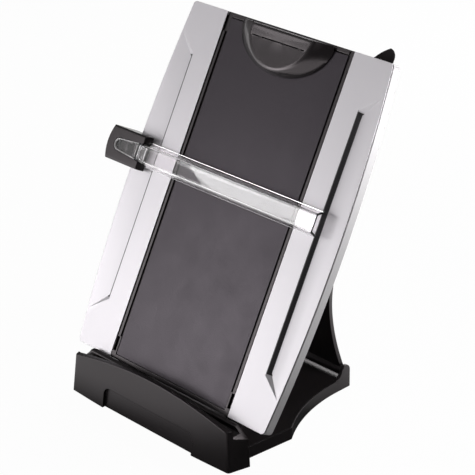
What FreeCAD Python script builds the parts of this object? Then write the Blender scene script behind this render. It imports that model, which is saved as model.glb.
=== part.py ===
import FreeCAD, Part
import math
import os

# Desk document holder with a slide-up drawer.  Millimetres, +X right, +Y back, +Z up.
# The origin is on the desk, on the middle line, below the front bottom edge of the platform.
# Platform pieces are drawn flat, as (x, depth behind the front face, distance up the
# platform), and are then leaned back and lifted by on_panel().

# Platform
lean = 28.23                # degrees from vertical, leaning back
panel_base = 36.7           # height of the front face's bottom edge
panel_height = 336.0        # along the slope
panel_half = 122.5          # half width at the top and bottom ends
panel_bow = 9.5             # how far the side edges bow out at mid height
panel_depth = 12.2          # front face to the back of the wings
corner_radius = 4.0
cover_wall = 2.4
edge_line = 0.8             # shadow gap between the wing plates and the back cover

# Wings
wing_inner = 78.3           # straight inner edge, from the middle line
wing_plate = 1.2            # visible rim of the wing
wing_body = 5.0             # full thickness of the wing
groove_x = wing_inner + 24.7  # straight groove, from the middle line
groove_low = 48.0
groove_high = panel_height - 46.5
groove_depth = 3.3
groove_bevel = 3.0
groove_rise = 0.73          # slope of the groove's slanted ends
facet_outer = groove_x + 20.5  # where the sunk facet meets the front face again
strip_thickness = 0.8

# Centre
frame_clear = 0.2
frame_front = 0.6           # the frame's face lies this far behind the wings
window_half = wing_inner - 5.8
window_low = 4.0
rebate_half = window_half - 6.5
rebate_depth = 3.4
ridge_inner = wing_inner - 4.0
ridge_outer = wing_inner - 0.9
ridge_groove = 1.6
ridge_low = 21.5
ridge_high = panel_height - 18.0
sheet_front = 1.0
sheet_thickness = 2.4
sheet_gap = 0.15
sheet_top = panel_height - 5.0

# Drawer
tray_half = window_half - 2.5
tray_front = 5.6
tray_back = 23.4
tray_wall = 1.6
tray_low = 24.0
tray_top = panel_height - 4.5
channel_half = tray_half + 0.5
channel_low = tray_low - 1.0
channel_back = tray_back + 0.6
runner_width = 2.2
runner_centre = 13.0
runner_height = 2.6
runner_play = 0.4
pull_front = 1.2
pull_half = window_half - 0.5
pull_neck_half = rebate_half - 0.4
pull_neck_front = 3.2
divider_up = tray_low + 166.0

# Back housing over the drawer, tilt pivot and notch racks
housing_half = wing_inner + 0.7
housing_back = channel_back + cover_wall
housing_low = channel_low - 5.0
housing_top = panel_height - 5.0
housing_fillet = 3.0
pivot_depth = 19.0
pivot_up = 10.0
pivot_radius = 6.0
rod_radius = 2.0
rod_press = 0.02
rod_running = 0.06
lug_inner = 52.0
lug_outer = 61.9
ear_inner = 62.2
ear_outer = 68.2
rack_x = 46.0
rack_width = 26.0
rack_low = 176.0
rack_pitch = 8.0
rack_teeth = 8
rack_height = 2.0

# Support
support_y = 155.5           # rear rod
support_z = 18.0
support_lean = 8.5
support_reach = 187.55      # rod to the middle of the tip
support_plate = 2.6
support_rim = 4.2
support_foot_half = 70.8
support_waist_half = 63.2
support_waist_up = 50.0
support_shoulder_half = 67.9
support_shoulder_up = 88.0
support_head_half = 71.5
support_head_low = 118.0
support_head_up = 172.0
support_corner = 12.0
barrel_radius = 4.6
tip_radius = 4.5
tip_core = 3.0
tip_half = 56.0

# Base tray
base_gap = 0.8              # underside above the desk
tray_front_y = -3.0
base_floor = 10.5
base_rim = 12.5
base_skin = 2.5
base_wall = 3.0
rim_wall = 1.8
base_front_half = 98.2
base_corner_half = 103.4
base_corner_y = 55.0
base_arc_x = 82.6
base_arc_y = 98.0
base_rear_half = 75.6
base_rear_start = 146.0
base_rear_y = 161.0
cheek_thickness = 3.6
cheek_top = 24.8
cheek_start = 141.0

# Front ledge
ledge_front_half = 104.5
ledge_back_half = 109.6
ledge_back_y = -3.0
ledge_end_y = -25.0
ledge_mid_y = -28.5
ledge_top_half = 99.0
ledge_top_back_half = 107.3
ledge_top_end_y = -22.0
ledge_top_mid_y = -20.0
ledge_loft = 50.0
lip_end_z = 39.3
lip_mid_z = 49.5
lip_back_y = -16.8
back_wall_z = 37.5
channel_floor = 33.0
channel_rear_y = -7.5
end_slope_x = 95.5             # outside this the channel and the rear wall fall away
end_slope_drop = 0.75
lip_round = 3.0
recess_half = 59.0
recess_height = 22.0
recess_radius = 8.0
recess_low_y = -24.6
recess_high_y = -20.9
belly_half = recess_half - 1.0
belly_top = 19.5

# Feet
foot_height = 2.0
foot_strip_half = 60.0
foot_strip_front = -1.4
foot_strip_back = 8.0
rear_foot_x = 60.0
rear_foot_y = 138.0
rear_foot_radius = 7.0
ledge_foot_x = ledge_back_half - 29.6
ledge_foot_y = -14.0
ledge_foot_radius = 5.0

# Pen holder
pen_inner = housing_half + 1.6
pen_outer = pen_inner + 24.4
pen_back = panel_depth + 11.3
pen_low = panel_height - 74.0
pen_wall = 1.8
pen_floor = 3.0
pen_apex_x = pen_outer - 7.5
pen_apex = panel_height + 13.0
pen_front_top = panel_height - 18.0
pen_shoulder_drop = 9.0
pen_round = 2.0

# Paper clip
clip_face = -10.0
clip_foot = 0.6
clip_centre_up = panel_height
clip_top = panel_height - 1.6
clip_face_top = panel_height - 3.0
clip_face_radius = 38.0
clip_foot_half = 57.0
clip_foot_drop = 42.5
clip_wall = 2.0
clip_pivot_up = panel_height - 11.0
clip_pivot_depth = -4.2
clip_pin_radius = 1.5
clip_pin_half = 26.0
clip_ear = 3.0
clip_ear_out = 25.3
bracket_half = 21.5
bracket_plate = 1.4
bracket_drop = 8.0
bracket_rise = 5.0
bracket_eye = 2.6
clip_swing = 10.0
clip_slit_up = panel_height - 13.4
clip_slit_half = 32.0

# Line guide
guide_up = 186.5            # middle of the slider up the platform
slider_half_height = 16.2
slider_inner = panel_half - 8.5
slider_outer = panel_half + 35.0
slider_bulge = slider_outer + 3.5
slider_front = -12.0
slider_lift = 0.4
slider_web = panel_half + panel_bow + 1.8
slider_back = panel_depth + 6.8
rail_x = panel_half - 9.5
slider_jaw_inner = rail_x - 9.0
rail_width = 8.0
rail_height = 3.0
rail_low = 24.0
rail_high = panel_height - 24.0
rail_play = 0.25
pocket_end_x = slider_outer - 13.1
pocket_radius = 6.4
pocket_mouth = 8.6
pocket_depth = 7.6
arm_pin_x = slider_inner + 6.5
arm_pin_depth = -7.4
arm_pin_radius = 1.2
arm_barrel = 2.6
arm_barrel_half = 4.6
arm_start = slider_inner - 2.0
arm_end = groove_x + 4.5
arm_front_half = 9.0
arm_back_half = 11.6
arm_back = -4.0
arm_hollow = 1.6
arm_wall = 2.0
tongue_thickness = 1.8
tongue_radius = 5.6
tongue_mouth = 7.8

# Screws
screw_radius = 2.6
screw_head = 1.4
screw_shank = 1.2
screw_boss = 3.2
screw_bite = 2.6            # how far a cover screw reaches into the wing
cover_screw_x = 92.0
cover_screw_end = 20.0
base_screw_x = base_front_half - 14.2
base_screw_z = 5.2
base_screw_bite = 8.0
pen_screw_low = 10.0
pen_screw_high = 44.0
pen_screw_bite = 4.0

# Ribs behind the wings
bay_margin = 6.0
bay_count = 3
bay_rib = 4.0
bay_length = (panel_height - 2 * bay_margin - (bay_count - 1) * bay_rib) / bay_count
beyond = 400.0              # longer than any piece, for open-ended cuts

vec = FreeCAD.Vector
x_axis = vec(1, 0, 0)
y_axis = vec(0, 1, 0)
z_axis = vec(0, 0, 1)


def box(x0, x1, y0, y1, z0, z1):
    return Part.makeBox(x1 - x0, y1 - y0, z1 - z0, vec(x0, y0, z0))


def rod(start, axis, length, radius):
    return Part.makeCylinder(radius, length, vec(*start), axis)


def sided_rod(start, axis, length, radius, sides):
    """Rod with flat sides, for small pieces that repeat."""
    across = x_axis if abs(axis.dot(x_axis)) < 0.5 else y_axis
    other = axis.cross(across)
    turns = [2 * math.pi * i / sides for i in range(sides + 1)]
    ring = [start + across * (radius * math.cos(t)) + other * (radius * math.sin(t)) for t in turns]
    return Part.Face(Part.makePolygon(ring)).extrude(axis * length)


def wire_of(points, place):
    """Closed wire; a pair of points in the list is an arc's middle and end."""
    edges = []
    last = place(points[0])
    for item in points[1:] + [points[0]]:
        if isinstance(item[0], tuple):
            middle, end = place(item[0]), place(item[1])
            edges.append(Part.Arc(last, middle, end).toShape())
        else:
            end = place(item)
            if end.distanceToPoint(last) > 1e-6:
                edges.append(Part.LineSegment(last, end).toShape())
        last = end
    return Part.Wire(edges)


def prism(points, place, along):
    return Part.Face(wire_of(points, place)).extrude(along)


def prism_x(points, x0, x1):
    """Profile given as (y, z), extruded from x0 to x1."""
    return prism(points, lambda p: vec(x0, p[0], p[1]), vec(x1 - x0, 0, 0))


def prism_y(points, y0, y1):
    """Profile given as (x, z), extruded from y0 to y1."""
    return prism(points, lambda p: vec(p[0], y0, p[1]), vec(0, y1 - y0, 0))


def prism_z(points, z0, z1):
    """Profile given as (x, y), extruded from z0 to z1."""
    return prism(points, lambda p: vec(p[0], p[1], z0), vec(0, 0, z1 - z0))


def fuse(shapes):
    return shapes[0].multiFuse(shapes[1:]).removeSplitter()


def fillet(shape, radius, chosen):
    edges = [edge for edge in shape.Edges if chosen(edge)]
    return shape.makeFillet(radius, edges)


def runs_along(edge, axis):
    if len(edge.Vertexes) < 2:
        return False
    step = edge.Vertexes[1].Point.sub(edge.Vertexes[0].Point)
    return step.Length > 0.01 and abs(abs(step.dot(axis)) / step.Length - 1) < 1e-4


def mirrored(shape):
    return shape.mirror(vec(0, 0, 0), x_axis)


def on_panel(shape):
    placed = shape.copy()
    placed.rotate(vec(0, 0, 0), x_axis, -lean)
    placed.translate(vec(0, 0, panel_base))
    return placed


def panel_point(depth, up):
    """World (y, z) of a point given by its depth and its distance up the platform."""
    s, c = math.sin(math.radians(lean)), math.cos(math.radians(lean))
    return up * s + depth * c, panel_base + up * c - depth * s


def outline(inset=0.0):
    """Front view of the platform, with bowed sides, moved in by an inset."""
    middle = panel_height / 2
    radius = (middle ** 2 + panel_bow ** 2) / (2 * panel_bow)
    centre = panel_half + panel_bow - radius
    low, high = inset, panel_height - inset
    end = centre + math.sqrt((radius - inset) ** 2 - (middle - inset) ** 2)
    mid = centre + radius - inset
    return [(-end, low), (end, low), ((mid, middle), (end, high)),
            (-end, high), ((-mid, middle), (-end, low))]


def screw(x, y, z, axis, length):
    """Pan-head screw; axis points out of the head."""
    base = vec(x, y, z)
    head = sided_rod(base, axis, screw_head, screw_radius, 12)
    return head.fuse(sided_rod(base, axis.negative(), length, screw_shank, 6))


def coil_rings(start, axis, turns, ring_radius, wire_radius):
    """Closely wound spring drawn as touching rings with few faces."""
    origin = vec(*start)
    bore = sided_rod(origin, axis, 2 * wire_radius * turns, ring_radius - wire_radius * 0.5, 12)
    rings = []
    for i in range(turns):
        place = origin + axis * (2 * wire_radius * i)
        rings.append(sided_rod(place, axis, wire_radius, ring_radius + wire_radius, 12))
        rings.append(sided_rod(place + axis * wire_radius, axis, wire_radius,
                               ring_radius + wire_radius * 0.3, 12))
    return fuse(rings).cut(bore)


# ---------------------------------------------------------------- base

def base_outline():
    half = [(base_front_half, tray_front_y), (base_corner_half, base_corner_y),
            ((base_arc_x, base_arc_y), (base_rear_half, base_rear_start)),
            (base_rear_half, base_rear_y)]
    left = [(-base_rear_half, base_rear_y), (-base_rear_half, base_rear_start),
            ((-base_arc_x, base_arc_y), (-base_corner_half, base_corner_y)),
            (-base_front_half, tray_front_y)]
    return half + left


def inner_prism(inset, z0, z1):
    wire = wire_of(base_outline(), lambda p: vec(p[0], p[1], z0))
    face = Part.Face(wire).makeOffset2D(-inset)
    return face.extrude(vec(0, 0, z1 - z0))


def pivot():
    return panel_point(pivot_depth, pivot_up)


def make_base_tray():
    body = prism_z(base_outline(), base_gap, base_rim)
    body = body.cut(inner_prism(rim_wall, base_floor, base_rim + 10))
    body = body.cut(inner_prism(base_wall, 0, base_floor - base_skin))
    pivot_y, pivot_z = pivot()
    adds = []
    # Seats under the feet
    adds.append(box(-foot_strip_half - 3, foot_strip_half + 3, tray_front_y,
                    foot_strip_back + 3, base_gap, base_floor - 1))
    for side in (-1, 1):
        adds.append(rod((side * rear_foot_x, rear_foot_y, base_gap), z_axis,
                        base_floor - 1 - base_gap, rear_foot_radius + 2))
        # Ear that carries the tilt rod
        low = base_floor - 1
        foot_half = pivot_radius + 5
        ear = prism_x([(pivot_y - foot_half, low), (pivot_y + foot_half, low),
                       (pivot_y + pivot_radius, pivot_z),
                       ((pivot_y, pivot_z + pivot_radius), (pivot_y - pivot_radius, pivot_z))],
                      ear_inner, ear_outer)
        adds.append(ear if side > 0 else mirrored(ear))
        # Rear cheek, rising in a hollow curve to a rounded hump over the rod
        hump = base_rear_y - support_y
        rise = cheek_top - base_rim
        cheek = prism_x([(cheek_start, base_floor - 1), (cheek_start, base_rim),
                         ((support_y - 1.55 * hump, base_rim + 0.2 * rise),
                          (support_y - hump, base_rim + 0.56 * rise)),
                         ((support_y, cheek_top), (base_rear_y, base_rim + 0.56 * rise)),
                         (base_rear_y, base_floor - 1)],
                        base_rear_half - cheek_thickness, base_rear_half)
        cheek = cheek.common(box(0, 200, 0, 300, 0, 60))
        adds.append(cheek if side > 0 else mirrored(cheek))
    # Ribs across the hollow underside
    for rib_y in (45.0, 80.0, 112.0):
        adds.append(box(-base_rear_half, base_rear_half, rib_y, rib_y + 2, base_gap + 2, base_floor - 1))
    body = fuse([body] + adds)
    # Recesses for the feet, and the rod bores
    body = body.cut(box(-foot_strip_half, foot_strip_half, foot_strip_front, foot_strip_back,
                        0, foot_height))
    for side in (-1, 1):
        body = body.cut(rod((side * rear_foot_x, rear_foot_y, 0), z_axis,
                            foot_height, rear_foot_radius))
    body = body.cut(rod((-ear_outer - 1, pivot_y, pivot_z), x_axis, 2 * ear_outer + 2,
                        rod_radius + rod_press))
    return body.cut(rod((-base_rear_half + 1.2, support_y, support_z), x_axis,
                        2 * base_rear_half - 2.4, rod_radius + rod_press))


def ledge_wire(z, front, back, end_y, mid_y):
    points = [(-front, end_y), ((0, mid_y), (front, end_y)), (back, ledge_back_y),
              (-back, ledge_back_y)]
    return wire_of(points, lambda p: vec(p[0], p[1], z))


def make_front_ledge():
    lower = ledge_wire(base_gap, ledge_front_half, ledge_back_half, ledge_end_y, ledge_mid_y)
    upper = ledge_wire(ledge_loft + base_gap, ledge_top_half, ledge_top_back_half,
                       ledge_top_end_y, ledge_top_mid_y)
    body = Part.makeLoft([lower, upper], True, True)
    body = fillet(body, lip_round, lambda e: abs(e.CenterOfMass.x) > 90 and e.Length > 40
                  and e.CenterOfMass.y < lip_back_y)
    wide, high = 130.0, 70.0
    # Arched lip
    body = body.cut(prism_y([(-wide, high), (-wide, lip_end_z), (-ledge_top_half, lip_end_z),
                             ((0, lip_mid_z), (ledge_top_half, lip_end_z)),
                             (wide, lip_end_z), (wide, high)], -60, lip_back_y))
    # Channel for the sheets, open at both ends, and the lower rear wall behind it
    body = body.cut(box(-wide, wide, lip_back_y, 0, back_wall_z, high))
    body = body.cut(box(-wide, wide, lip_back_y, channel_rear_y, channel_floor, high))
    for side in (-1, 1):
        slope = [(side * end_slope_x, back_wall_z),
                 (side * wide, back_wall_z - end_slope_drop * (wide - end_slope_x)),
                 (side * wide, high), (side * end_slope_x, high)]
        body = body.cut(prism_y(slope, lip_back_y, 0))
    # Sunk panel in the front face
    sunk = prism_y([(-recess_half, -1), (recess_half, -1), (recess_half, recess_height),
                    (-recess_half, recess_height)], -60, 0)
    sunk = fillet(sunk, recess_radius,
                  lambda e: runs_along(e, y_axis) and e.CenterOfMass.z > recess_height - 1)
    sunk = sunk.common(prism_x([(-60, -1), (recess_low_y, -1), (recess_high_y, recess_height),
                                (-60, recess_height)], -wide, wide))
    body = body.cut(sunk)
    # Hollow underside behind the sunk panel, and the foot recesses
    skin = base_wall
    body = body.cut(prism_x([(recess_low_y + skin, -1), (recess_high_y + skin, belly_top),
                             (ledge_back_y - skin, belly_top), (ledge_back_y - skin, -1)],
                            -belly_half, belly_half))
    for side in (-1, 1):
        body = body.cut(rod((side * ledge_foot_x, ledge_foot_y, 0), z_axis, foot_height,
                            ledge_foot_radius))
    # Break the lip's top edge along the front and round its ends
    return fillet(body, 0.8, lambda e: e.CenterOfMass.z > lip_end_z - 1
                  and e.CenterOfMass.y < lip_back_y - 1)


def make_foot_strip():
    strip = box(-foot_strip_half, foot_strip_half, foot_strip_front, foot_strip_back, 0, foot_height)
    return fillet(strip, 3.0, lambda e: runs_along(e, z_axis))


def make_round_feet(x, y, radius):
    return rod((x, y, 0), z_axis, foot_height, radius)


def make_base_screws():
    """Screws that draw the tray and the ledge together, driven from the tray's hollow side."""
    return [screw(x, tray_front_y + base_wall, base_screw_z, y_axis, base_wall + base_screw_bite)
            for x in (-base_screw_x, base_screw_x)]


# ---------------------------------------------------------------- support

def on_support(shape):
    """Support pieces are drawn upright with the rod at (0, 0), then leaned forward."""
    placed = shape.copy()
    placed.rotate(vec(0, 0, 0), x_axis, support_lean)
    placed.translate(vec(0, support_y, support_z))
    return placed


def support_outline(inset):
    """Front view of the support: a narrow waist low down and straight sides above it."""
    foot = support_foot_half - inset
    head = support_head_half - inset
    waist = support_waist_half - inset
    shoulder = support_shoulder_half - inset
    top = support_reach - inset * 0.5
    low = 2.0 + inset
    corner = support_corner
    middle_up = (support_shoulder_up + support_head_low) / 2
    middle = shoulder + 0.75 * (head - shoulder)
    right = [(foot, low), ((waist, support_waist_up), (shoulder, support_shoulder_up)),
             ((middle, middle_up), (head, support_head_low)), (head, support_head_up),
             ((head - 0.29 * corner, top - 0.29 * corner + 1), (head - corner, top))]
    left = [(-(head - corner), top),
            ((-(head - 0.29 * corner), top - 0.29 * corner + 1), (-head, support_head_up)),
            (-head, support_head_low),
            ((-middle, middle_up), (-shoulder, support_shoulder_up)),
            ((-waist, support_waist_up), (-foot, low))]
    return right + left


def make_support_plate():
    """Waisted plate with a rim behind it, a hinge barrel below and a rounded head."""
    front = -support_plate / 2
    body = prism_y(support_outline(0), front, front + support_rim)
    body = body.cut(prism_y(support_outline(2.2), front + support_plate, front + support_rim + 1))
    barrel_half = base_rear_half - cheek_thickness - 0.3
    barrel = rod((-barrel_half, 0, 0), x_axis, 2 * barrel_half, barrel_radius)
    ribs = [box(x - 1, x + 1, front, front + support_rim - 0.5, 3, support_reach - 4)
            for x in (-34.0, 0.0, 34.0)]
    core = rod((-tip_half - 4, 0, support_reach), x_axis, 2 * tip_half + 8, tip_core)
    body = fuse([body, barrel, core] + ribs)
    notch = support_foot_half + 2
    body = body.cut(box(barrel_half, notch, -10, 10, -10, barrel_radius + 1))
    body = body.cut(box(-notch, -barrel_half, -10, 10, -10, barrel_radius + 1))
    body = body.cut(rod((-100, 0, 0), x_axis, 200, rod_radius + rod_running))
    room = rod((-tip_half, 0, support_reach), x_axis, 2 * tip_half, tip_radius + 0.01)
    ring = room.cut(rod((-tip_half, 0, support_reach), x_axis, 2 * tip_half, tip_core))
    return body.cut(ring)


def make_tip_pad():
    outer = rod((-tip_half, 0, support_reach), x_axis, 2 * tip_half, tip_radius)
    inner = rod((-tip_half, 0, support_reach), x_axis, 2 * tip_half, tip_core)
    below = box(-tip_half, tip_half, -support_rim, support_rim, support_reach - tip_radius - 1,
                support_reach - 1.5)
    return outer.cut(inner).cut(below)


# ---------------------------------------------------------------- platform

def groove_region(depth):
    """Front view of the sunk facet at a depth, bounded by the bevelled step."""
    run = groove_bevel / groove_depth
    x = groove_x + run * depth
    low = groove_low + run * depth * 1.24
    high = groove_high - run * depth * 1.24
    far = groove_x + 50.0
    rise = groove_rise * (far - x)
    return [(x, low), (far, low - rise), (far, high + rise), (x, high)]


def groove_tool(shift):
    """Cutter for the sunk facet; shift moves the straight step outwards."""
    above, below = -2.0, 6.0

    def ring(depth):
        points = [(x + (shift if i in (0, 3) else 0), z)
                  for i, (x, z) in enumerate(groove_region(depth))]
        return wire_of(points, lambda p: vec(p[0], depth, p[1]))
    body = Part.makeLoft([ring(above), ring(below)], True, True)
    bottom_x = groove_x + groove_bevel
    slope = (facet_outer - bottom_x) / groove_depth
    facet = [(bottom_x - 20, above), (bottom_x - 20, groove_depth), (bottom_x, groove_depth),
             (facet_outer - slope * above, above)]
    return body.common(prism_z(facet, -20, panel_height + 20))


def make_wing():
    """Right wing: a thin rim over a thicker body, with the sunk facet cut in."""
    high, low = panel_height + 1, -1
    right = box(wing_inner, 200, -1, 20, low, high)
    plate = prism_y(outline(), 0, wing_plate)
    plate = fillet(plate, corner_radius, lambda e: runs_along(e, y_axis))
    body = prism_y(outline(cover_wall + 0.5), wing_plate, wing_body)
    wing = fuse([plate, body]).common(right)
    return wing.cut(groove_tool(0.0))


def make_groove_strip():
    """Dark strip that lines the straight step of the right wing's facet."""
    straight = box(groove_x - 5, groove_x + 20, -1, 10, groove_low + 1.5, groove_high - 1.5)
    strip = groove_tool(0.0).cut(groove_tool(strip_thickness)).common(straight)
    strip = strip.common(prism_y(outline(), 0.02, 8))
    return max(strip.Solids, key=lambda s: s.Volume)


def make_back_cover():
    body = prism_y(outline(), wing_plate + edge_line, panel_depth)
    body = fillet(body, corner_radius, lambda e: runs_along(e, y_axis))
    rim = [e for e in body.Edges if abs(e.CenterOfMass.y - panel_depth) < 0.01]
    body = body.makeChamfer(1.2, rim)
    housing = box(-housing_half, housing_half, panel_depth - 2, housing_back,
                  housing_low, housing_top)
    housing = fillet(housing, housing_fillet,
                     lambda e: e.CenterOfMass.y > housing_back - 0.1 or
                     (runs_along(e, y_axis) and e.CenterOfMass.z < housing_low + 1))
    lug = prism_x([(panel_depth - 1, pivot_up - pivot_radius), (panel_depth - 1, housing_low + 2),
                   (housing_back - housing_fillet - 1, housing_low + 2),
                   (pivot_depth + pivot_radius, pivot_up),
                   ((pivot_depth, pivot_up - pivot_radius),
                    (pivot_depth - pivot_radius * 0.9, pivot_up - pivot_radius))],
                  lug_inner, lug_outer)
    body = fuse([body, housing, lug, mirrored(lug)])
    # Seat for the wings and the centre frame
    high = panel_height + 5
    body = body.cut(prism_y(outline(cover_wall), 0, wing_body))
    body = body.cut(box(-wing_inner, wing_inner, 0, wing_body, panel_height / 2, high))
    # Drawer channel with its runner grooves, open at the top
    body = body.cut(box(-channel_half, channel_half, 0, channel_back, channel_low, high))
    groove_half = tray_half + runner_width + runner_play
    body = body.cut(box(-groove_half, groove_half, runner_centre - runner_height / 2 - runner_play,
                        runner_centre + runner_height / 2 + runner_play, channel_low, high))
    # Hollows under the wings
    pocket = prism_y(outline(cover_wall + 2), wing_body - 1, panel_depth - cover_wall)
    for side in (-1, 1):
        inner, outer = housing_half + 5, beyond
        x0, x1 = (inner, outer) if side > 0 else (-outer, -inner)
        for bay in range(bay_count):
            low = bay_margin + bay * (bay_length + bay_rib)
            hollow = pocket.common(box(x0, x1, 0, 20, low, low + bay_length))
            # Bosses round the screws that reach the wings
            for x, up in cover_screw_places():
                hollow = hollow.cut(sided_rod(vec(x, 0, up), y_axis, 20, screw_boss, 12))
            body = body.cut(hollow)
    # Rod bore through the lugs
    return body.cut(rod((-lug_outer - 1, pivot_depth, pivot_up), x_axis, 2 * lug_outer + 2,
                        rod_radius + rod_running))


def make_centre_frame():
    """Frame between the wings: side strips with a ridge, and a bottom bar, open at the top."""
    half = wing_inner - frame_clear
    body = box(-half, half, frame_front, wing_body, cover_wall + 0.1, panel_height)
    # Bottom lip in front of the cover's lower wall
    body = body.fuse(box(-half, half, frame_front, wing_plate + edge_line / 2, 0, cover_wall + 1))
    body = body.cut(box(-window_half, window_half, 0, rebate_depth, window_low, panel_height + 1))
    body = body.cut(box(-rebate_half, rebate_half, 0, wing_body + 1, window_low + 14,
                        panel_height + 1))
    for side in (-1, 1):
        def strip_cut(inner, outer, y1, z0, z1):
            x0, x1 = sorted((side * inner, side * outer))
            return box(x0, x1, 0, y1, z0, z1)
        body = body.cut(strip_cut(ridge_outer, half + 1, frame_front + ridge_groove, ridge_low, beyond))
        body = body.cut(strip_cut(window_half - 1, ridge_inner, frame_front + ridge_groove,
                                  ridge_low, ridge_high))
        # Dark slots past both ends of the ridge
        body = body.cut(strip_cut(ridge_inner, ridge_outer, wing_body - 0.8,
                                  window_low + 3, ridge_low - 1))
        body = body.cut(strip_cut(window_half - 1, half + 1, frame_front + ridge_groove,
                                  ridge_high, panel_height + 1))
    return body


def make_centre_sheet():
    half = window_half - sheet_gap
    body = box(-half, half, sheet_front, sheet_front + sheet_thickness,
               window_low + sheet_gap, sheet_top)
    return fillet(body, 0.6, lambda e: abs(e.CenterOfMass.y - sheet_front) < 0.01)


def make_rack(x):
    base = box(x - rack_width / 2, x + rack_width / 2, housing_back, housing_back + 0.8,
               rack_low - 4, rack_low + rack_pitch * rack_teeth - 4)
    crest = housing_back + rack_height
    teeth = [prism_x([(housing_back + 0.3, rack_low + rack_pitch * i - 3.2),
                      (crest, rack_low + rack_pitch * i - 1.2),
                      (crest, rack_low + rack_pitch * i + 1.2),
                      (housing_back + 0.3, rack_low + rack_pitch * i + 1.8)],
                     x - rack_width / 2, x + rack_width / 2) for i in range(rack_teeth)]
    return fuse([base] + teeth)


def make_pen_holder():
    """Open scoop behind the top right corner, its rear wall rising to a rounded point."""
    outer = prism_y([(pen_inner, pen_low), (pen_outer, pen_low),
                     (pen_outer, pen_apex - pen_shoulder_drop),
                     ((pen_outer - pen_round, pen_apex - 1.5 * pen_round), (pen_apex_x, pen_apex)),
                     ((pen_inner + 3.75 * pen_round, pen_apex - 3.25 * pen_round),
                      (pen_inner, pen_apex - 7.5 * pen_round))],
                    panel_depth, pen_back)
    outer = fillet(outer, 3.0, lambda e: runs_along(e, z_axis) and e.CenterOfMass.y > pen_back - 1)
    inner = box(pen_inner + pen_wall, pen_outer - pen_wall, panel_depth + pen_wall,
                pen_back - pen_wall, pen_low + pen_floor, beyond)
    inner = fillet(inner, 1.6, lambda e: runs_along(e, z_axis))
    slope = prism_x([(panel_depth - 1, pen_front_top), (pen_back - pen_wall - 1.0, pen_apex - 13),
                     (pen_back - pen_wall, pen_apex + 5), (panel_depth - 1, pen_apex + 5)],
                    pen_inner - 5, pen_outer + 5)
    return outer.cut(inner).cut(slope)


def cover_screw_places():
    """One screw near each end of the cover and one on each rib, except under the pen holder."""
    ribs = [bay_margin + bay * (bay_length + bay_rib) - bay_rib / 2 for bay in range(1, bay_count)]
    ups = [cover_screw_end] + ribs + [panel_height - cover_screw_end]
    right = [up for up in ups if up < pen_low - screw_radius]
    return [(-cover_screw_x, up) for up in ups] + [(cover_screw_x, up) for up in right]


def make_cover_screws():
    length = panel_depth - wing_body + screw_bite
    return [screw(x, panel_depth, up, y_axis, length) for x, up in cover_screw_places()]


def make_pen_screws():
    x = (pen_inner + pen_outer) / 2
    return [screw(x, panel_depth + pen_wall, pen_low + up, y_axis, pen_wall + pen_screw_bite)
            for up in (pen_screw_low, pen_screw_high)]


def screw_bores(screws, shape):
    """Cuts the room of the screws out of what they pass through."""
    for item in screws:
        shape = shape.cut(item)
    return shape


def make_guide_rail():
    rail = box(-rail_x - rail_width / 2, -rail_x + rail_width / 2, panel_depth,
               panel_depth + rail_height, rail_low, rail_high)
    return fillet(rail, 0.6, lambda e: runs_along(e, z_axis) and e.CenterOfMass.y > panel_depth + 1)


# ---------------------------------------------------------------- drawer

def make_drawer_tray():
    """Shallow tray, open to the front, with a divider and a finger scoop in its floor."""
    body = box(-tray_half, tray_half, tray_front, tray_back, tray_low, tray_top)
    body = fillet(body, 2.0, lambda e: runs_along(e, x_axis) and e.CenterOfMass.y > tray_back - 0.1)
    inner_half = tray_half - tray_wall
    for low, top in ((tray_low + tray_wall, divider_up), (divider_up + tray_wall, tray_top - tray_wall)):
        body = body.cut(box(-inner_half, inner_half, tray_front - 1, tray_back - tray_wall, low, top))
    return body


def make_drawer_pull():
    """End piece with a rounded front lip that closes the top of the centre panel."""
    top = panel_height
    body = fuse([box(-tray_half, tray_half, tray_front, tray_back, tray_top, top),
                 box(-pull_neck_half, pull_neck_half, pull_neck_front - 0.5, tray_front + 0.5,
                     tray_top, top),
                 box(-pull_half, pull_half, pull_front, pull_neck_front, tray_top, top)])
    body = fillet(body, 0.9, lambda e: runs_along(e, x_axis) and
                  e.CenterOfMass.y < pull_front + 0.01)
    scoop = rod((0, tray_back + 7, tray_top - 1), z_axis, 10, 16.0)
    return body.cut(scoop)


def make_runner(side):
    x0, x1 = sorted((side * tray_half, side * (tray_half + runner_width)))
    body = box(x0, x1, runner_centre - runner_height / 2, runner_centre + runner_height / 2,
               tray_low + 6, tray_top - 40)
    return fillet(body, 0.5, lambda e: runs_along(e, x_axis))


# ---------------------------------------------------------------- paper clip

def clip_ring(depth, half, drop, top):
    """Wire of a half ellipse hanging from the clip's centre line, closed across its top."""
    up = clip_centre_up
    reach = half * math.sqrt(1 - ((up - top) / drop) ** 2)
    forty_five = math.sqrt(0.5)
    return wire_of([(-reach, top), ((-half * forty_five, up - drop * forty_five), (0, up - drop)),
                    ((half * forty_five, up - drop * forty_five), (reach, top))],
                   lambda p: vec(p[0], depth, p[1]))


def clip_dome(inset, foot, face):
    lower = clip_ring(foot, clip_foot_half - inset, clip_foot_drop - inset, clip_top - inset)
    upper = clip_ring(face, clip_face_radius - inset, clip_face_radius - inset,
                      clip_face_top - inset)
    return Part.makeLoft([lower, upper], True, True)


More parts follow.
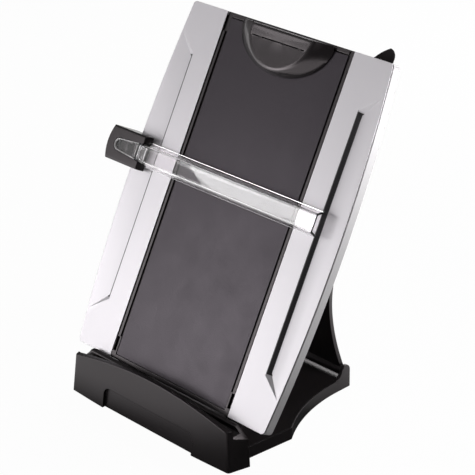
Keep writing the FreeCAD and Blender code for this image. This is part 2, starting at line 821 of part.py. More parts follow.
def make_clip_lever():
    dome = clip_dome(0.0, clip_foot, clip_face)
    dome = dome.cut(clip_dome(clip_wall, clip_foot + 0.01, clip_face + clip_wall))
    # Heel relief, so that pressing the top lifts the bottom
    relief = math.tan(math.radians(clip_swing + 1.5)) * (clip_top + 2 - clip_pivot_up)
    dome = dome.cut(prism_x([(clip_foot + 0.1, clip_pivot_up), (clip_foot - relief, clip_top + 2),
                             (clip_foot + 5, clip_top + 2), (clip_foot + 5, clip_pivot_up)], -70, 70))
    slit = box(-clip_slit_half, clip_slit_half, clip_face - 1, clip_face + 0.9,
               clip_slit_up - 0.45, clip_slit_up + 0.45)
    dome = dome.cut(slit)
    ears = []
    for side in (-1, 1):
        x0, x1 = sorted((side * (clip_ear_out - clip_ear), side * clip_ear_out))
        ears.append(prism_x([(clip_face + clip_wall - 0.5, clip_pivot_up - 6),
                             (clip_face + clip_wall - 0.5, clip_pivot_up + 6),
                             (clip_pivot_depth + 1.8, clip_pivot_up + 3),
                             (clip_pivot_depth + 3.0, clip_pivot_up),
                             (clip_pivot_depth + 1.8, clip_pivot_up - 3)], x0, x1))
    body = fuse([dome] + ears)
    return body.cut(rod((-30, clip_pivot_depth, clip_pivot_up), x_axis, 60,
                        clip_pin_radius + rod_running))


def make_clip_bracket():
    plate = box(-bracket_half, bracket_half, sheet_front - bracket_plate, sheet_front,
                clip_pivot_up - bracket_drop, clip_pivot_up + bracket_rise)
    ears = []
    for side in (-1, 1):
        x0, x1 = sorted((side * (bracket_half - clip_ear), side * bracket_half))
        ears.append(prism_x([(sheet_front - bracket_plate / 3, clip_pivot_up - bracket_rise),
                             (sheet_front - bracket_plate / 3, clip_pivot_up + bracket_rise),
                             (clip_pivot_depth, clip_pivot_up + bracket_eye),
                             ((clip_pivot_depth - bracket_eye, clip_pivot_up),
                              (clip_pivot_depth, clip_pivot_up - bracket_eye))], x0, x1))
    body = fuse([plate] + ears)
    return body.cut(rod((-30, clip_pivot_depth, clip_pivot_up), x_axis, 60,
                        clip_pin_radius + rod_press))


def make_clip_pin():
    return rod((-clip_pin_half, clip_pivot_depth, clip_pivot_up), x_axis, 2 * clip_pin_half,
               clip_pin_radius)


def make_clip_spring():
    return coil_rings((-3, clip_pivot_depth, clip_pivot_up), x_axis, 5, clip_pin_radius + 0.75, 0.6)


def make_clip_pad():
    """Rubber pad inside the clip's lower edge."""
    wedge = clip_dome(clip_wall, clip_foot + 0.01, clip_face + clip_wall)
    low = clip_centre_up - clip_foot_drop
    return wedge.common(box(-17, 17, -2.4, clip_foot - 0.1, low, low + 7))


# ---------------------------------------------------------------- line guide

def guide_outline(half, inner):
    low, high = guide_up - half, guide_up + half
    return [(-inner, low), (-inner, high), (-slider_outer, high),
            ((-slider_bulge, guide_up), (-slider_outer, low))]


def tongue_outline(radius, mouth, end):
    """Rounded tongue that widens towards the arm."""
    return [(-pocket_end_x, guide_up + radius), ((-pocket_end_x - radius, guide_up),
            (-pocket_end_x, guide_up - radius)), (-end, guide_up - mouth), (-end, guide_up + mouth)]


def make_slider_body():
    front = prism_y(guide_outline(slider_half_height, slider_inner), slider_front, -slider_lift)
    web = prism_y(guide_outline(slider_half_height, slider_web), -slider_lift - 1,
                  panel_depth + slider_lift)
    body = fuse([front, web])
    body = fillet(body, 2.2, lambda e: e.CenterOfMass.y < slider_front + 0.01
                  and e.CenterOfMass.x < -slider_inner - 2)
    pocket = prism_y(tongue_outline(pocket_radius, pocket_mouth, slider_inner - 2),
                     slider_front - 1, slider_front + pocket_depth)
    body = body.cut(pocket)
    low = guide_up - slider_half_height + 1.5
    return body.cut(rod((-arm_pin_x, arm_pin_depth, low), z_axis, 2 * slider_half_height - 3,
                        arm_pin_radius + rod_press))


def make_slider_jaw():
    low, high = guide_up - slider_half_height, guide_up + slider_half_height
    start = panel_depth + slider_lift
    body = prism_y(guide_outline(slider_half_height, slider_jaw_inner), start, slider_back)
    body = body.makeChamfer(1.4, [e for e in body.Edges if e.CenterOfMass.y > slider_back - 0.01])
    half = rail_width / 2 + rail_play
    return body.cut(box(-rail_x - half, -rail_x + half, start - 1,
                        panel_depth + rail_height + rail_play, low - 1, high + 1))


def make_slider_screws():
    return [screw(-146.0, slider_back - 1.6, guide_up + dz, y_axis, 12.0) for dz in (-9.0, 9.0)]


def make_brake_pad():
    """Felt pad in the jaw that presses on the rail and holds the slider where it is put."""
    half = rail_width / 2 - 0.5
    back = panel_depth + rail_height + rail_play
    return box(-rail_x - half, -rail_x + half, back - 0.15, back + 1.2, guide_up - 8, guide_up + 8)


def make_arm_pin():
    low = guide_up - slider_half_height + 1.5
    return rod((-arm_pin_x, arm_pin_depth, low), z_axis, 2 * slider_half_height - 3, arm_pin_radius)


def make_arm_spring():
    return coil_rings((-arm_pin_x, arm_pin_depth, guide_up + 5.4), z_axis, 2, arm_pin_radius + 0.6, 0.45)


def arm_section():
    """Channel with a hollow front and flared flanges, as (depth, up) points."""
    f, b, w = arm_front_half, arm_back_half, arm_wall
    front, back = slider_front, arm_back
    return [(front, guide_up + f), ((front + arm_hollow, guide_up), (front, guide_up - f)),
            (back, guide_up - b), (back, guide_up - b + w), (front + w, guide_up - f + w * 0.75),
            ((front + arm_hollow + w, guide_up), (front + w, guide_up + f - w * 0.75)),
            (back, guide_up + b - w)] + [(back, guide_up + b)]


def make_guide_bar():
    """Clear bar: channel arm, closed neck, barrel on the pin and a press tongue."""
    arm = prism_x(arm_section(), -arm_start, arm_end)
    front, back = slider_front + 0.4, arm_back - 1.5
    cap = prism_x([(front, guide_up - arm_front_half), (back, guide_up - arm_back_half + 1),
                   (back, guide_up + arm_back_half - 1), (front, guide_up + arm_front_half)],
                  -arm_start, -arm_start + arm_wall)
    high = arm_barrel_half
    barrel = rod((-arm_pin_x, arm_pin_depth, guide_up - high), z_axis, 2 * high, arm_barrel)
    neck = box(-arm_pin_x, -arm_start + 0.5, arm_pin_depth - 2.0, arm_pin_depth + 1.2,
               guide_up - high, guide_up + high)
    tongue = prism_y(tongue_outline(tongue_radius, tongue_mouth, arm_pin_x - 2),
                     slider_front + 0.2, slider_front + 0.2 + tongue_thickness)
    post = box(-arm_pin_x - 2.2, -arm_pin_x + 2.2, slider_front + 1.0, arm_pin_depth,
               guide_up - high, guide_up + high)
    body = fuse([arm, cap, barrel, neck, tongue, post])
    bore = rod((-arm_pin_x, arm_pin_depth, guide_up - high - 1), z_axis, 2 * high + 2,
               arm_pin_radius + rod_running)
    return body.cut(bore)


# ---------------------------------------------------------------- assembly

def build():
    parts = {}
    pivot_y, pivot_z = pivot()
    cover_screws = make_cover_screws()
    pen_screws = make_pen_screws()
    base_screws = make_base_screws()
    slider_screws = make_slider_screws()

    parts["base_tray"] = screw_bores(base_screws, make_base_tray())
    parts["front_ledge"] = screw_bores(base_screws, make_front_ledge())
    parts["base_screws"] = Part.makeCompound(base_screws)
    parts["front_foot_strip"] = make_foot_strip()
    parts["left_rear_foot"] = make_round_feet(-rear_foot_x, rear_foot_y, rear_foot_radius)
    parts["right_rear_foot"] = make_round_feet(rear_foot_x, rear_foot_y, rear_foot_radius)
    parts["left_ledge_foot"] = make_round_feet(-ledge_foot_x, ledge_foot_y, ledge_foot_radius)
    parts["right_ledge_foot"] = make_round_feet(ledge_foot_x, ledge_foot_y, ledge_foot_radius)
    parts["tilt_rod"] = rod((-ear_outer, pivot_y, pivot_z), x_axis, 2 * ear_outer, rod_radius)
    support_end = base_rear_half - 1.4
    parts["support_rod"] = rod((-support_end, support_y, support_z), x_axis, 2 * support_end, rod_radius)

    parts["support_plate"] = on_support(make_support_plate())
    parts["support_tip_pad"] = on_support(make_tip_pad())

    cover = make_back_cover()
    wing = make_wing()
    flat = {
        "back_cover": screw_bores(cover_screws + pen_screws, cover),
        "right_wing": screw_bores(cover_screws, wing),
        "left_wing": screw_bores(cover_screws, mirrored(wing)),
        "right_groove_strip": make_groove_strip(),
        "left_groove_strip": mirrored(make_groove_strip()),
        "centre_frame": make_centre_frame(),
        "centre_panel": make_centre_sheet(),
        "left_notch_rack": make_rack(-rack_x),
        "right_notch_rack": make_rack(rack_x),
        "pen_holder": screw_bores(pen_screws, make_pen_holder()),
        "pen_holder_screws": Part.makeCompound(pen_screws),
        "cover_screws": Part.makeCompound(cover_screws),
        "guide_rail": make_guide_rail(),
        "clip_bracket": make_clip_bracket(),
        "clip_pin": make_clip_pin(),
        "clip_spring": make_clip_spring(),
        "drawer_tray": make_drawer_tray(),
        "drawer_pull": make_drawer_pull(),
        "left_drawer_runner": make_runner(-1),
        "right_drawer_runner": make_runner(1),
        "clip_lever": make_clip_lever(),
        "clip_pad": make_clip_pad(),
        "slider_body": screw_bores(slider_screws, make_slider_body()),
        "slider_jaw": screw_bores(slider_screws, make_slider_jaw().cut(make_brake_pad())),
        "slider_screws": Part.makeCompound(slider_screws),
        "slider_brake_pad": make_brake_pad(),
        "arm_pin": make_arm_pin(),
        "arm_spring": make_arm_spring(),
        "guide_bar": make_guide_bar(),
    }
    for name, shape in flat.items():
        parts[name] = on_panel(shape)
    return parts


def main():
    os.makedirs("parts", exist_ok=True)
    for name, shape in build().items():
        solids = shape.Solids
        print(name, "solids", len(solids), "valid", shape.isValid(),
              "volume", round(sum(s.Volume for s in solids) / 1000, 2), "cm3")
        if shape.ShapeType == "Compound" and len(solids) == 1:
            shape = solids[0]
        shape.exportStep(f"parts/{name}.step")


main()
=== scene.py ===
# Desk document holder with a slide-up drawer: looks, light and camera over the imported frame.
import math

import bmesh
import bpy
from mathutils import Matrix, Vector
from mathutils.bvhtree import BVHTree


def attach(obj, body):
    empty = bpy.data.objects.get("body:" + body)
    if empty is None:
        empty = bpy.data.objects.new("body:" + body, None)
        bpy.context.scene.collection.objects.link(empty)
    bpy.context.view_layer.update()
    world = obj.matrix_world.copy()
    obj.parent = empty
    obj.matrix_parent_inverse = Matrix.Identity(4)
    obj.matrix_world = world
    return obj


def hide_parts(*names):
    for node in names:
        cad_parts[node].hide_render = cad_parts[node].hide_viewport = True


print("loading the frame")
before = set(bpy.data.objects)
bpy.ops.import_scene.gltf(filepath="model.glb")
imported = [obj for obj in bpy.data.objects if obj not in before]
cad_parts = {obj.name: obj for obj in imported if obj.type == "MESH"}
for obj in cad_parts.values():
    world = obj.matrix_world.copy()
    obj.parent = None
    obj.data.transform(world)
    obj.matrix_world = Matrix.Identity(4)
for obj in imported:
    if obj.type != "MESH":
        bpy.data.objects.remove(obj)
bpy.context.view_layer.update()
mm = 0.001


class Wire:
    # wraps a node's output, so that masks add, subtract and multiply in plain expressions
    def __init__(self, paint, socket):
        self.paint = paint
        self.socket = socket

    def made(self, operation, *terms):
        values = dict(enumerate(terms))
        return self.paint.node("ShaderNodeMath", {"operation": operation}, values)

    def __add__(self, other):
        return self.made("ADD", self, other)

    def __radd__(self, other):
        return self.made("ADD", other, self)

    def __sub__(self, other):
        return self.made("SUBTRACT", self, other)

    def __rsub__(self, other):
        return self.made("SUBTRACT", other, self)

    def __mul__(self, other):
        return self.made("MULTIPLY", self, other)

    def __rmul__(self, other):
        return self.made("MULTIPLY", other, self)


class Paint:
    # the nodes of one material or world; node() makes them and surface() joins them to the output
    def __init__(self, name, blocks=bpy.data.materials, output="ShaderNodeOutputMaterial"):
        self.block = blocks.new(name)
        self.block.use_nodes = True
        self.tree = self.block.node_tree
        self.tree.nodes.clear()
        self.output = self.tree.nodes.new(output)
        self.place = self.node("ShaderNodeTexCoord", out="Object")

    def node(self, kind, settings=None, values=None, out=0):
        made = self.tree.nodes.new(kind)
        for key, value in (settings or {}).items():
            setattr(made, key, value)
        for key, value in (values or {}).items():
            self.plug(made.inputs[key], value)
        return Wire(self, made.outputs[out])

    def plug(self, socket, value):
        if isinstance(value, Wire):
            self.tree.links.new(value.socket, socket)
        elif socket.type == "RGBA" and len(value) == 3:
            socket.default_value = (*value, 1.0)
        else:
            socket.default_value = value

    def mix(self, factor, first, second):
        # sockets 0, 6 and 7 are the factor and the two colours; output 2 is the mixed colour
        values = {0: factor, 6: first, 7: second}
        return self.node("ShaderNodeMix", {"data_type": "RGBA"}, values, 2)

    def noise(self, scale, detail=2.0, roughness=0.5):
        values = {"Vector": self.place, "Scale": scale, "Detail": detail, "Roughness": roughness}
        return self.node("ShaderNodeTexNoise", values=values)

    def bump(self, height, distance, strength):
        values = {"Height": height, "Distance": distance, "Strength": strength}
        return self.node("ShaderNodeBump", values=values)

    def surface(self, shader):
        self.tree.links.new(shader.socket, self.output.inputs["Surface"])
        return self.block

    def finish(self, values):
        return self.surface(self.node("ShaderNodeBsdfPrincipled", values=values))

    def seen(self, camera, glossy):
        # how much of the bright studio a ray meets: straight or through clear plastic, or mirrored
        rays = {"Is Camera Ray": camera, "Is Transmission Ray": camera, "Is Glossy Ray": glossy}
        return sum(self.node("ShaderNodeLightPath", out=ray) * part for ray, part in rays.items())

    def towards(self, direction, start, end, low, high):
        # a ramp along a direction, from low at start to high at end; output 1 is the dot product
        reach = self.node("ShaderNodeVectorMath", {"operation": "DOT_PRODUCT"},
                          {0: self.place, 1: direction}, 1)
        return self.node("ShaderNodeMapRange",
                         values={0: reach, 1: start, 2: end, 3: low, 4: high})


# the platform leans back from upright; its front face starts at base, in millimetres
platform = {"lean": math.radians(28.23), "base": 36.7}


def onPlatform(x, depth, up):
    # x across, depth behind the front face, up along the slope, in millimetres; gives metres
    s, c = math.sin(platform["lean"]), math.cos(platform["lean"])
    return Vector((x, up * s + depth * c, platform["base"] + up * c - depth * s)) * mm


# angles in degrees, the weld in millimetres, the stray as a share of the edge's width
edges = {"angle": 32, "segments": 2, "stray": 0.6, "sharp": 60, "weight": 80,
         "weld": 0.002, "flat": 0.02}


def linked(name, data):
    item = bpy.data.objects.new(name, data)
    bpy.context.scene.collection.objects.link(item)
    return item


def pieceFrom(name, mesh, body, material):
    # wraps a mesh as a piece that rides on a body and takes the given material
    piece = linked(name, mesh)
    piece.data.materials.clear()
    piece.data.materials.append(material)
    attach(piece, body)
    return piece


def smoothed(mesh, angle):
    # smooth shading that stays sharp across edges steeper than the angle
    for face in mesh.polygons:
        face.use_smooth = True
    mesh.set_sharp_from_angle(angle=math.radians(angle))


def settle(piece):
    # applies a piece's modifiers to its mesh
    view = bpy.context.evaluated_depsgraph_get()
    piece.data = bpy.data.meshes.new_from_object(piece.evaluated_get(view))
    piece.modifiers.clear()


def bevelled(piece, width, angle):
    edge = piece.modifiers.new("edge", "BEVEL")
    edge.width = width * mm
    edge.segments = edges["segments"]
    edge.limit_method = "ANGLE"
    edge.angle_limit = math.radians(angle)
    return edge


def rounded(piece, width):
    # breaks the sharp edges; corners that the bevel throws outwards come back to the old surface
    old = bmesh.new()
    old.from_mesh(piece.data)
    skin = BVHTree.FromBMesh(old)
    old.free()
    bevelled(piece, width, edges["angle"]).use_clamp_overlap = False
    settle(piece)
    for corner in piece.data.vertices:
        nearest, normal, face, gap = skin.find_nearest(corner.co)
        if gap > edges["stray"] * width * mm:
            corner.co = nearest
    smoothed(piece.data, edges["sharp"])
    flat = piece.modifiers.new("flat", "WEIGHTED_NORMAL")
    flat.keep_sharp = True
    flat.weight = edges["weight"]


def softened(node, width, material, body):
    # a copy of a frame node with its flat faces joined and its edges broken
    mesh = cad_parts[node].data.copy()
    work = bmesh.new()
    work.from_mesh(mesh)
    bmesh.ops.remove_doubles(work, verts=work.verts, dist=edges["weld"] * mm)
    bmesh.ops.dissolve_limit(work, angle_limit=math.radians(edges["flat"]), verts=work.verts,
                             edges=work.edges)
    work.to_mesh(mesh)
    work.free()
    piece = pieceFrom(node + "Dressed", mesh, body, material)
    if width:
        rounded(piece, width)
    else:
        smoothed(mesh, edges["angle"])
    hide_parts(node)


def ringShell(rings, place):
    # quads between rings of equal length, closed by one flat face at the last ring
    work = bmesh.new()
    rows = [[work.verts.new(place(*point)) for point in ring] for ring in rings]
    for low, high in zip(rows, rows[1:]):
        for i in range(len(low)):
            j = (i + 1) % len(low)
            work.faces.new((low[i], low[j], high[j], high[i]))
    work.faces.new(rows[-1])
    bmesh.ops.recalc_face_normals(work, faces=work.faces)
    return work


def closedLoft(rings, place):
    # the same with a flat face at each end
    work = ringShell(rings, place)
    work.verts.ensure_lookup_table()
    work.faces.new(work.verts[:len(rings[0])])
    bmesh.ops.recalc_face_normals(work, faces=work.faces)
    return work


def meshFrom(work, name, angle=35):
    mesh = bpy.data.meshes.new(name)
    work.to_mesh(mesh)
    work.free()
    smoothed(mesh, angle)
    return mesh


def bandOn(name, outline, x0, x1):
    # a (depth, up) outline carried across the platform
    rings = [[(x, depth, up) for depth, up in outline] for x in (x0, x1)]
    return linked(name, meshFrom(closedLoft(rings, onPlatform), name))


def slabOn(name, outline, front, back):
    # a plate with the given (x, up) outline between two depths
    rings = [[(x, depth, up) for x, up in outline] for depth in (front, back)]
    return linked(name, meshFrom(closedLoft(rings, onPlatform), name))


def barrelOn(name, radius, low, high, x, depth, steps=32):
    # a round rod along the slope
    turn = [2 * math.pi * i / steps for i in range(steps)]
    rings = [[(x + radius * math.cos(a), depth + radius * math.sin(a), up) for a in turn]
             for up in (low, high)]
    return linked(name, meshFrom(closedLoft(rings, onPlatform), name))


def boxOn(name, x0, x1, d0, d1, u0, u1):
    # a loose box in platform coordinates, used as a cutter
    corners = [(x, d, u) for x in (x0, x1) for d in (d0, d1) for u in (u0, u1)]
    faces = [(0, 1, 3, 2), (4, 6, 7, 5), (0, 4, 5, 1), (2, 3, 7, 6), (0, 2, 6, 4), (1, 5, 7, 3)]
    mesh = bpy.data.meshes.new(name)
    mesh.from_pydata([onPlatform(*corner) for corner in corners], [], faces)
    return linked(name, mesh)


def joinWith(piece, other, operation="UNION"):
    # joins a loose shape to the piece, or cuts it out of the piece, and removes the shape
    join = piece.modifiers.new("join", "BOOLEAN")
    join.operation = operation
    join.solver = "EXACT"
    join.object = other
    settle(piece)
    bpy.data.objects.remove(other)


# each finish runs between two tones; noise scales are cells in a metre, bumps are metres deep
paintLook = {"flake": 5200.0, "spread": 0.1, "bump": (0.00003, 0.25)}
silverLook = {"tones": ((0.73, 0.70, 0.735), (0.77, 0.74, 0.775)), "cloud": 14.0, "share": 0.5,
              "metallic": 0.25, "roughness": 0.36}
greyLook = {"tones": ((0.42, 0.41, 0.42), (0.48, 0.47, 0.48)), "cloud": 0, "share": 0.4,
            "metallic": 0.15, "roughness": 0.34}
blackLook = {"tones": ((0.009, 0.0075, 0.008), (0.0125, 0.0105, 0.011)), "cloud": 22.0,
             "grain": 1900.0, "spread": 0.1, "tint": (1.0, 0.9, 0.94), "bump": (0.00004, 0.3)}
sheetLook = {"tones": ((0.017, 0.014, 0.017), (0.027, 0.023, 0.027)), "cloud": 30.0,
             "cell": 1150.0, "roughness": 0.26, "spread": 0.22, "shine": 0.36,
             "tint": (1.0, 0.88, 1.0), "bump": (0.0001, 0.5)}
plainLook = {"darker": 0.9, "lighter": 1.1, "spread": 0.08, "bump": (0.00004, 0.3)}
clearLook = {"tint": (1.0, 0.985, 0.995), "bend": 1.59}


def sprayedPaint(name, look):
    # metal flakes over a slow cloud of tone, or over the flakes' own tone
    paint = Paint(name)
    flake = paint.noise(paintLook["flake"], 1.0)
    cloud = paint.noise(look["cloud"], 3.0) if look["cloud"] else flake
    return paint.finish({"Base Color": paint.mix(cloud * look["share"], *look["tones"]),
                         "Metallic": look["metallic"],
                         "Roughness": look["roughness"] + flake * paintLook["spread"],
                         "Normal": paint.bump(flake, *paintLook["bump"])})


def blackPlastic(name, roughness, shine=0.4):
    paint = Paint(name)
    grain = paint.noise(blackLook["grain"], 2.0, 0.6)
    cloud = paint.noise(blackLook["cloud"], 3.0)
    return paint.finish({"Base Color": paint.mix(cloud, *blackLook["tones"]),
                         "Roughness": roughness + grain * blackLook["spread"],
                         "Specular IOR Level": shine, "Specular Tint": blackLook["tint"],
                         "Normal": paint.bump(grain, *blackLook["bump"])})


def darkSheet():
    # the pebbled panel
    paint = Paint("darkSheet")
    cell = paint.node("ShaderNodeTexVoronoi", {"feature": "F1"},
                      {"Vector": paint.place, "Scale": sheetLook["cell"]})
    cloud = paint.noise(sheetLook["cloud"], 4.0, 0.6)
    return paint.finish({"Base Color": paint.mix(cloud, *sheetLook["tones"]),
                         "Roughness": sheetLook["roughness"] + cloud * sheetLook["spread"],
                         "Specular IOR Level": sheetLook["shine"],
                         "Specular Tint": sheetLook["tint"],
                         "Normal": paint.bump(cell, *sheetLook["bump"])})


def plain(name, colour, roughness, metallic=0.0, grainSize=2400.0):
    paint = Paint(name)
    grain = paint.noise(grainSize, 2.0)
    dark = [part * plainLook["darker"] for part in colour]
    light = [min(part * plainLook["lighter"], 1.0) for part in colour]
    return paint.finish({"Base Color": paint.mix(grain, dark, light),
                         "Roughness": roughness + grain * plainLook["spread"],
                         "Metallic": metallic, "Normal": paint.bump(grain, *plainLook["bump"])})


def clearPlastic(name, roughness, through):
    return Paint(name).finish({"Base Color": clearLook["tint"], "Roughness": roughness,
                               "IOR": clearLook["bend"], "Transmission Weight": through})


silver = sprayedPaint("silverPaint", silverLook)
grey = sprayedPaint("greyPaint", greyLook)
black = blackPlastic("blackPlastic", 0.28)
glossBlack = blackPlastic("glossBlack", 0.16, 0.6)
matteBlack = blackPlastic("matteBlack", 0.55, 0.2)
sheet = darkSheet()
clear = clearPlastic("clearPlastic", 0.02, 1.0)
# painted highlight: a half-clear, near-white plastic for the tongue's rim, standing for light
# caught in the clear edge
whitenedRimHighlight = clearPlastic("whitenedRimHighlight", 0.2, 0.45)
steel = plain("zincSteel", (0.55, 0.55, 0.56), 0.28, 1.0)
rubber = plain("rubber", (0.02, 0.02, 0.021), 0.7)
felt = plain("felt", (0.05, 0.05, 0.055), 0.95, grainSize=4200.0)
natural = plain("naturalPlastic", (0.72, 0.72, 0.69), 0.3)
# painted shade: the groove's step face, which lies in shade, is drawn as a dark strip
strip = plain("grooveShadeStrip", (0.034, 0.031, 0.034), 0.4)

# body, material, slot, edge width in millimetres, nodes
dressing = [
    ("base", black, "black_plastic", 0.5, ["base_tray", "front_ledge"]),
    ("base", rubber, "rubber", 0.3, ["front_foot_strip", "left_rear_foot", "right_rear_foot",
                                     "left_ledge_foot", "right_ledge_foot"]),
    ("base", steel, "steel", 0.0, ["base_screws", "tilt_rod", "support_rod"]),
    ("support", black, "black_plastic", 0.3, ["support_plate"]),
    ("support", rubber, "rubber", 0.0, ["support_tip_pad"]),
    ("platform", silver, "silver_plastic", 0.3, ["left_wing", "right_wing"]),
    # the groove strips carry the painted shade of the groove's step face
    ("platform", strip, "dark_strip", 0.0, ["left_groove_strip", "right_groove_strip"]),
    ("platform", grey, "grey_plastic", 0.4, ["back_cover"]),
    ("platform", black, "black_plastic", 0.3, ["centre_frame", "left_notch_rack",
                                               "right_notch_rack", "guide_rail", "clip_bracket"]),
    ("platform", matteBlack, "black_plastic", 0.3, ["pen_holder"]),
    ("platform", sheet, "dark_sheet", 0.0, ["centre_panel"]),
    ("platform", steel, "steel", 0.0, ["pen_holder_screws", "cover_screws", "clip_pin",
                                       "clip_spring"]),
    ("drawer", black, "black_plastic", 0.3, ["drawer_tray", "drawer_pull"]),
    ("drawer", natural, "white_runner", 0.2, ["left_drawer_runner", "right_drawer_runner"]),
    ("paper_clip", rubber, "rubber", 0.0, ["clip_pad"]),
    ("guide_slider", black, "black_plastic", 0.3, ["slider_body", "slider_jaw"]),
    ("guide_slider", steel, "steel", 0.0, ["slider_screws", "arm_pin", "arm_spring"]),
    ("guide_slider", felt, "felt", 0.0, ["slider_brake_pad"]),
]
for body, material, slotName, width, nodes in dressing:
    for node in nodes:
        softened(node, width, material, body)
print("pieces dressed")

# where the wings' silver stops, in millimetres behind the face: black past the moulding depth is
# the unpainted moulding and the shade in the gap behind the plate, and black past the rim depth on
# the outer rims is a painted shadow line along the seam
seamShade = {"moulding": 1.25, "rim": 0.3, "rimFrom": 121, "sideways": 0.6, "forward": -0.3}


def paintSeamShade(piece):
    # painted shade: the wings turn black behind their sprayed faces, and their outer rims turn
    # matte black just behind the face as a painted shadow line along the seam
    lean = onPlatform(0, 1, 0) - onPlatform(0, 0, 0)
    lean.normalize()
    piece.data.materials.append(black)
    piece.data.materials.append(matteBlack)
    for face in piece.data.polygons:
        depth = (face.center - onPlatform(0, 0, 0)).dot(lean) / mm
        outward = face.normal.x * face.center.x > seamShade["sideways"] * abs(face.center.x)
        rim = outward and abs(face.center.x) > seamShade["rimFrom"] * mm
        limit = seamShade["rim"] if rim else seamShade["moulding"]
        if depth > limit and face.normal.dot(lean) > seamShade["forward"]:
            face.material_index = 2 if rim else 1


for side in ("left", "right"):
    paintSeamShade(bpy.data.objects[side + "_wingDressed"])

# the channel's rear wall rises by lift at its left end and by nothing at its right end
channelWall = {"above": 36.0, "behind": -7.0, "lift": 2.8, "half": 110.0}


def raiseWall(piece):
    for corner in piece.data.vertices:
        if corner.co.z > channelWall["above"] * mm and corner.co.y > channelWall["behind"] * mm:
            share = 0.5 - corner.co.x / (2 * channelWall["half"] * mm)
            corner.co.z += channelWall["lift"] * mm * min(max(share, 0), 1)


raiseWall(bpy.data.objects["front_ledgeDressed"])
print("wings and ledge finished")

clip = {"centre": 336.0, "wall": 1.9, "arcSteps": 56, "topSteps": 16, "smooth": 50,
        # the slit across the face, and how the face slopes back above it
        "slit": 322.6, "slitHalf": 32.0, "slitWidth": 1.1, "slitDepths": (-12, -7.2),
        "slope": 0.16, "slopeFrom": -7,
        # the pin's place and bore, and the ears round it
        "pivot": 325.0, "pivotDepth": -4.2, "bore": 1.6, "boreHalf": 30,
        "ears": [(-25.3, -22.3), (22.3, 25.3)], "earFront": -8.6, "earHalf": 6,
        "earTip": 3, "earNeck": 1.8,
        # the wedge cut from the heel, so that the clip can tip back
        "heelRise": 11.4, "heelRelief": 2.4, "heelStart": 0.1, "heelPast": 5, "heelHalf": 70,
        # half width, drop, top and depth of each ring, from the foot to the middle of the face
        "rings": [(57.0, 42.5, 334.4, 0.55), (56.9, 42.45, 334.4, -0.5),
                  (51.5, 41.7, 334.2, -3.6), (44.9, 40.3, 333.9, -7.0),
                  (41.0, 39.3, 333.6, -8.7), (39.3, 38.7, 333.3, -9.35),
                  (37.9, 37.8, 332.7, -9.8), (36.3, 36.5, 331.8, -10.0),
                  (34.6, 35.0, 330.6, -9.95), (24.0, 25.5, 329.0, -9.8),
                  (12.0, 15.0, 327.5, -9.75)]}


def clipRing(half, drop, top, depth):
    # points round a half ellipse hanging from the centre line, then back across its top
    start = math.asin((clip["centre"] - top) / drop)
    points = []
    for step in range(clip["arcSteps"]):
        turn = start + (math.pi - 2 * start) * step / (clip["arcSteps"] - 1)
        points.append((half * math.cos(turn), clip["centre"] - drop * math.sin(turn)))
    reach = half * math.cos(start)
    for step in range(1, clip["topSteps"]):
        points.append((-reach + 2 * reach * step / clip["topSteps"], top))
    lifted = []
    for x, up in points:
        back = max(up - clip["slit"], 0) * clip["slope"] if depth < clip["slopeFrom"] else 0
        lifted.append((x, depth + back, up))
    return lifted


def makeClip():
    work = ringShell([clipRing(*ring) for ring in clip["rings"]], onPlatform)
    mesh = meshFrom(work, "clipLever", clip["smooth"])
    piece = pieceFrom("clipLever", mesh, "paper_clip", glossBlack)
    shell = piece.modifiers.new("wall", "SOLIDIFY")
    shell.thickness = clip["wall"] * mm
    shell.offset = -1
    settle(piece)
    pivot, depth = clip["pivot"], clip["pivotDepth"]
    foot, top = clip["rings"][0][3], pivot + clip["heelRise"]
    heel = [(foot + clip["heelStart"], pivot), (foot - clip["heelRelief"], top),
            (foot + clip["heelPast"], top), (foot + clip["heelPast"], pivot)]
    joinWith(piece, bandOn("heel", heel, -clip["heelHalf"], clip["heelHalf"]), "DIFFERENCE")
    front, half, tip, neck = (clip[key] for key in ("earFront", "earHalf", "earTip", "earNeck"))
    for x0, x1 in clip["ears"]:
        ear = [(front, pivot - half), (front, pivot + half), (depth + neck, pivot + tip),
               (depth + tip, pivot), (depth + neck, pivot - tip)]
        joinWith(piece, bandOn("ear", ear, x0, x1))
    turn = [math.radians(15 * i) for i in range(24)]
    bore = [(depth + clip["bore"] * math.cos(a), pivot + clip["bore"] * math.sin(a))
            for a in turn]
    joinWith(piece, bandOn("bore", bore, -clip["boreHalf"], clip["boreHalf"]), "DIFFERENCE")
    half = clip["slitWidth"] / 2
    joinWith(piece, boxOn("slit", -clip["slitHalf"], clip["slitHalf"], *clip["slitDepths"],
                          clip["slit"] - half, clip["slit"] + half), "DIFFERENCE")
    smoothed(piece.data, clip["smooth"])
    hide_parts("clip_lever")


makeClip()
print("paper clip ready")

